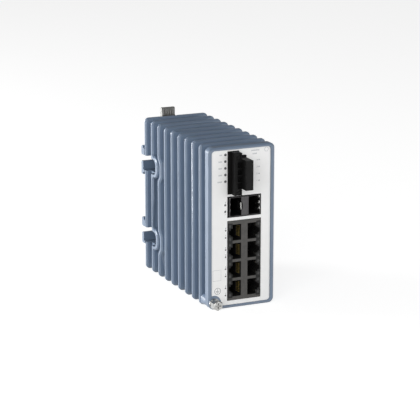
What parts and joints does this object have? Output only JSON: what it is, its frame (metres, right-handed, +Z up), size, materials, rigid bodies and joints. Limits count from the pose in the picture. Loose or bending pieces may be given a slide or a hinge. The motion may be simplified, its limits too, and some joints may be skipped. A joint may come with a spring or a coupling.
{
  "type": "din rail ethernet switch",
  "caption": "Finned metal network switch for a 35 mm rail, with modular jacks, fibre ports, a pluggable power terminal and a sprung rail clip.",
  "frame": {"origin": "middle of the rail's seat: the plane of the rear face, half way across, at the height of the rail's middle", "axes": "+X to the right seen from the front, +Y to the rear, +Z up"},
  "size_m": [0.052, 0.1404, 0.1253],
  "materials": {
    "blue_grey_paint": "fine satin paint, grey blue",
    "printed_film": "satin white film",
    "clear_plastic": "milky clear moulding",
    "black_plastic": "black glass-filled plastic",
    "grey_plastic": "dark grey plastic",
    "tinned_steel": "tinned sheet",
    "plated_steel": "bright plated steel",
    "gold_plate": "thin gold plate",
    "tin_plate": "tin plate",
    "light_lens": "diffusing lens",
    "green_laminate": "green solder resist",
    "chip_resin": "moulding resin",
    "heat_rubber": "soft grey pad",
    "can_aluminium": "bare aluminium can",
    "zinc_steel": "bright zinc plate",
    "spring_steel": "drawn wire"
  },
  "bodies": {
    "switch": {"finned_housing": "blue_grey_paint", "front_bezel": "blue_grey_paint", "front_overlay": "printed_film", "status_light_pipe": "clear_plastic", "fibre_light_pipe": "clear_plastic", "port_light_pipe": "clear_plastic", "terminal_header": "black_plastic", "terminal_pins": "tin_plate", "terminal_plug": "black_plastic", "wire_clamps": "tin_plate", "clamp_screws": "zinc_steel", "flange_screws": "zinc_steel", "fibre_cage": "tinned_steel", "fibre_connectors": "black_plastic", "jack_shield": "tinned_steel", "jack_insulator": "black_plastic", "jack_contacts": "gold_plate", "jack_lights": "light_lens", "main_board": "green_laminate", "power_board": "green_laminate", "switch_chip": "chip_resin", "heat_pad": "heat_rubber", "power_inductor": "grey_plastic", "board_connector": "grey_plastic", "line_transformers": "grey_plastic", "power_capacitors": "can_aluminium", "board_screws": "zinc_steel", "bezel_screws": "zinc_steel", "retainer_screws": "zinc_steel", "ground_screw": "plated_steel", "ground_washers": "plated_steel", "clip_spring": "spring_steel", "clip_retainer": "zinc_steel"},
    "rail_clip": {"clip_slider": "zinc_steel"}
  },
  "joints": [
    {"name": "clip_release", "type": "slide", "parent": "switch", "child": "rail_clip", "axis": [0, 0, -1], "range_m": [0, 0.0045], "stiffness_N_per_m": 900, "springref_m": -0.004, "deforming": ["clip_spring"]}
  ]
}
